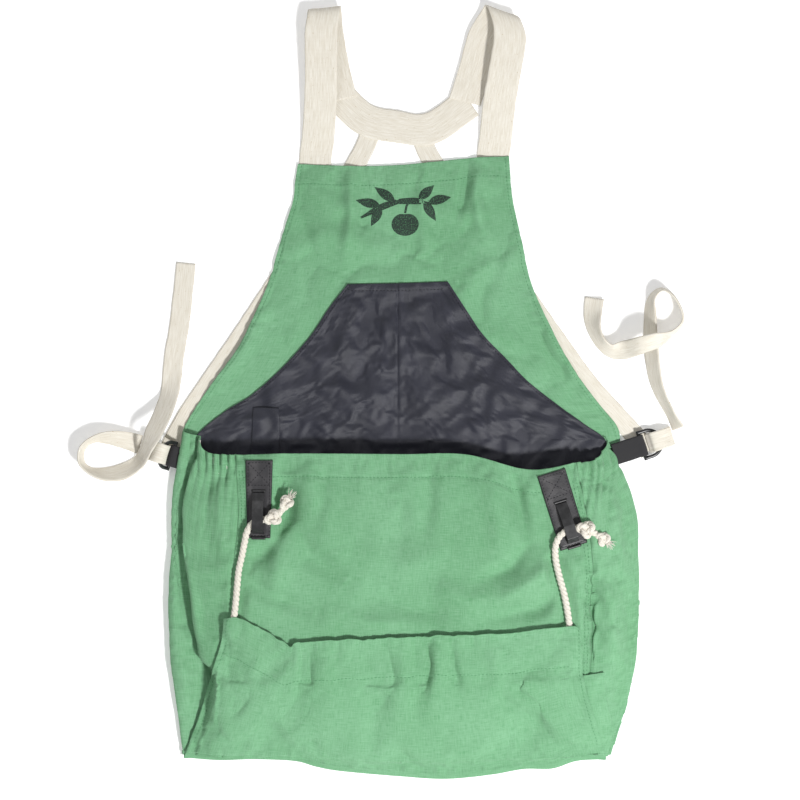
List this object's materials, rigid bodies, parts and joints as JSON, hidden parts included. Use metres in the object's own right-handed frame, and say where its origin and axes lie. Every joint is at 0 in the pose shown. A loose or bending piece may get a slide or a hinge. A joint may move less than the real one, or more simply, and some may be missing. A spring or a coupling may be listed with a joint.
{
  "type": "fruit picking bag",
  "caption": "Canvas harvest apron with a lined front pouch, a fold-up drop-out chute held by two clipped cords, and a cotton strap harness.",
  "frame": {"origin": "on the rest face, in the middle of the pouch's back", "axes": "+X across the apron to the right of someone who looks at its front, +Y from the bottom fold to the shoulder straps, +Z out of the front"},
  "size_m": [0.7073, 0.8957, 0.0609],
  "materials": {
    "green_canvas": "plain woven cotton canvas, matte, light crease marks",
    "dark_lining": "tightly woven nylon with a soft sheen",
    "elastic": "woven elastic",
    "black_leather": "imitation leather, fine grain, satin",
    "clip_plastic": "moulded nylon, satin",
    "ring_plastic": "moulded acetal, semi-gloss",
    "cotton_cord": "twisted natural cotton",
    "black_webbing": "flat woven webbing",
    "cotton_webbing": "natural cotton webbing, herringbone weave",
    "cotton_tape": "natural cotton tape, plain weave"
  },
  "bodies": {
    "apron": {"bib_panel": "green_canvas", "pouch_back_panel": "green_canvas", "pouch_front_panel": "green_canvas", "left_gusset": "green_canvas", "right_gusset": "green_canvas", "lining_back": "dark_lining", "lining_front": "dark_lining", "slip_pocket": "dark_lining", "left_elastic": "elastic", "right_elastic": "elastic", "left_patch": "black_leather", "right_patch": "black_leather", "left_clip_base": "clip_plastic", "right_clip_base": "clip_plastic", "left_waist_tab": "black_webbing", "right_waist_tab": "black_webbing", "left_shoulder_strap": "cotton_webbing", "right_shoulder_strap": "cotton_webbing", "back_cross_strap": "cotton_webbing", "left_back_strap": "cotton_tape", "right_back_strap": "cotton_tape", "left_strap_loop": "cotton_tape", "right_strap_loop": "cotton_tape", "left_waist_tie": "cotton_tape", "right_waist_tie": "cotton_tape"},
    "chute": {"chute_flap": "green_canvas", "chute_inner_wall": "green_canvas", "left_cord": "cotton_cord", "right_cord": "cotton_cord", "left_cord_knots": "cotton_cord", "right_cord_knots": "cotton_cord"},
    "left_tongue": {"left_clip_tongue": "clip_plastic"},
    "right_tongue": {"right_clip_tongue": "clip_plastic"},
    "left_ring": {"left_d_ring": "ring_plastic"},
    "right_ring": {"right_d_ring": "ring_plastic"}
  },
  "joints": [
    {"name": "chute_fold", "type": "hinge", "parent": "apron", "child": "chute", "pos_m": [0, -0.198, 0.012], "axis": [1, 0, 0], "range_deg": [0, 165], "deforming": ["left_cord", "right_cord", "left_cord_knots", "right_cord_knots"]},
    {"name": "left_tongue_flex", "type": "hinge", "parent": "apron", "child": "left_tongue", "pos_m": [-0.16303, 0.12402, 0.04412], "axis": [-0.9969, 0, -0.0785], "range_deg": [0, 18], "stiffness_Nm_per_rad": 0.05},
    {"name": "right_tongue_flex", "type": "hinge", "parent": "apron", "child": "right_tongue", "pos_m": [0.18628, 0.11175, 0.04303], "axis": [-0.9526, -0.2922, 0.0852], "range_deg": [0, 18], "stiffness_Nm_per_rad": 0.05},
    {"name": "left_ring_swing", "type": "hinge", "parent": "apron", "child": "left_ring", "pos_m": [-0.267, 0.167, 0.007], "axis": [0.309, 0.9511, 0], "range_deg": [-60, 50], "deforming": ["left_strap_loop"]},
    {"name": "right_ring_swing", "type": "hinge", "parent": "apron", "child": "right_ring", "pos_m": [0.283, 0.179, 0.007], "axis": [0.309, -0.9511, 0], "range_deg": [0, 110], "deforming": ["right_strap_loop"]}
  ]
}
